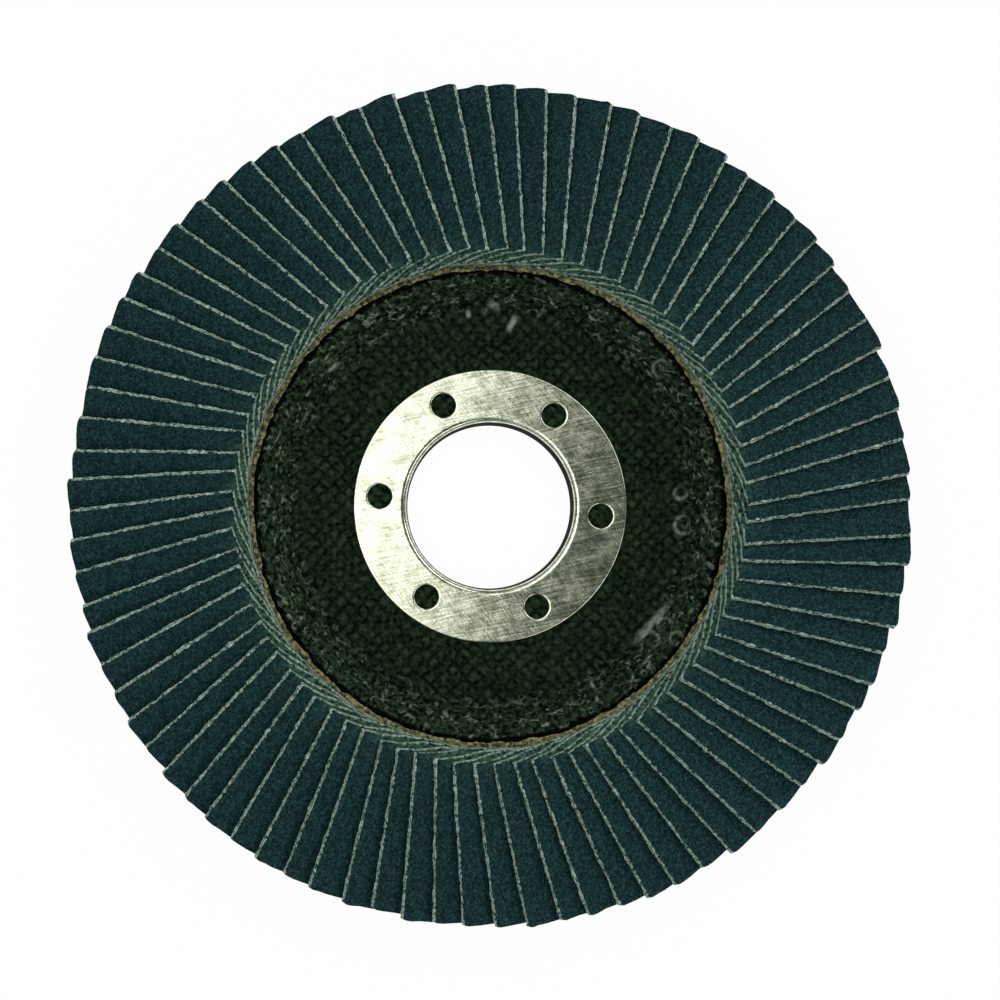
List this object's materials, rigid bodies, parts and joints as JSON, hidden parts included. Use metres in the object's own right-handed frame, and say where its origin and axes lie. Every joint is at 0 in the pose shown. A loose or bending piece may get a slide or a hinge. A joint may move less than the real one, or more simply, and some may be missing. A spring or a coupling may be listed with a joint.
{
  "type": "flap disc",
  "caption": "Conical flap disc for an angle grinder: overlapping abrasive cloth flaps glued round a sunk black fibreglass hub with a pressed steel centre ring.",
  "frame": {"origin": "centre of the arbor bore at the back face of the hub", "axes": "+Z along the arbor axis towards the working face; the part rests on the back of its hub"},
  "size_m": [0.115, 0.115, 0.0147],
  "materials": {
    "fibreglass": "moulded black resin-bonded glass fabric",
    "ring_steel": "finely brushed",
    "adhesive": "cured tan adhesive",
    "abrasive_cloth": "dark teal grit on a pale greenish cloth"
  },
  "bodies": {
    "root": {"backing_plate": "fibreglass", "centre_ring": "ring_steel", "adhesive_bed": "adhesive", "flap_pair_01": "abrasive_cloth", "flap_pair_02": "abrasive_cloth", "flap_pair_03": "abrasive_cloth", "flap_pair_04": "abrasive_cloth", "flap_pair_05": "abrasive_cloth", "flap_pair_06": "abrasive_cloth", "flap_pair_07": "abrasive_cloth", "flap_pair_08": "abrasive_cloth", "flap_pair_09": "abrasive_cloth", "flap_pair_10": "abrasive_cloth", "flap_pair_11": "abrasive_cloth", "flap_pair_12": "abrasive_cloth", "flap_pair_13": "abrasive_cloth", "flap_pair_14": "abrasive_cloth", "flap_pair_15": "abrasive_cloth", "flap_pair_16": "abrasive_cloth", "flap_pair_17": "abrasive_cloth", "flap_pair_18": "abrasive_cloth", "flap_pair_19": "abrasive_cloth", "flap_pair_20": "abrasive_cloth", "flap_pair_21": "abrasive_cloth", "flap_pair_22": "abrasive_cloth", "flap_pair_23": "abrasive_cloth", "flap_pair_24": "abrasive_cloth", "flap_pair_25": "abrasive_cloth", "flap_pair_26": "abrasive_cloth", "flap_pair_27": "abrasive_cloth", "flap_pair_28": "abrasive_cloth", "flap_pair_29": "abrasive_cloth", "flap_pair_30": "abrasive_cloth", "flap_pair_31": "abrasive_cloth", "flap_pair_32": "abrasive_cloth", "flap_pair_33": "abrasive_cloth", "flap_pair_34": "abrasive_cloth", "flap_pair_35": "abrasive_cloth", "flap_pair_36": "abrasive_cloth", "flap_pair_37": "abrasive_cloth", "flap_pair_38": "abrasive_cloth", "flap_pair_39": "abrasive_cloth", "flap_pair_40": "abrasive_cloth", "flap_pair_41": "abrasive_cloth", "flap_pair_42": "abrasive_cloth"}
  },
  "joints": []
}
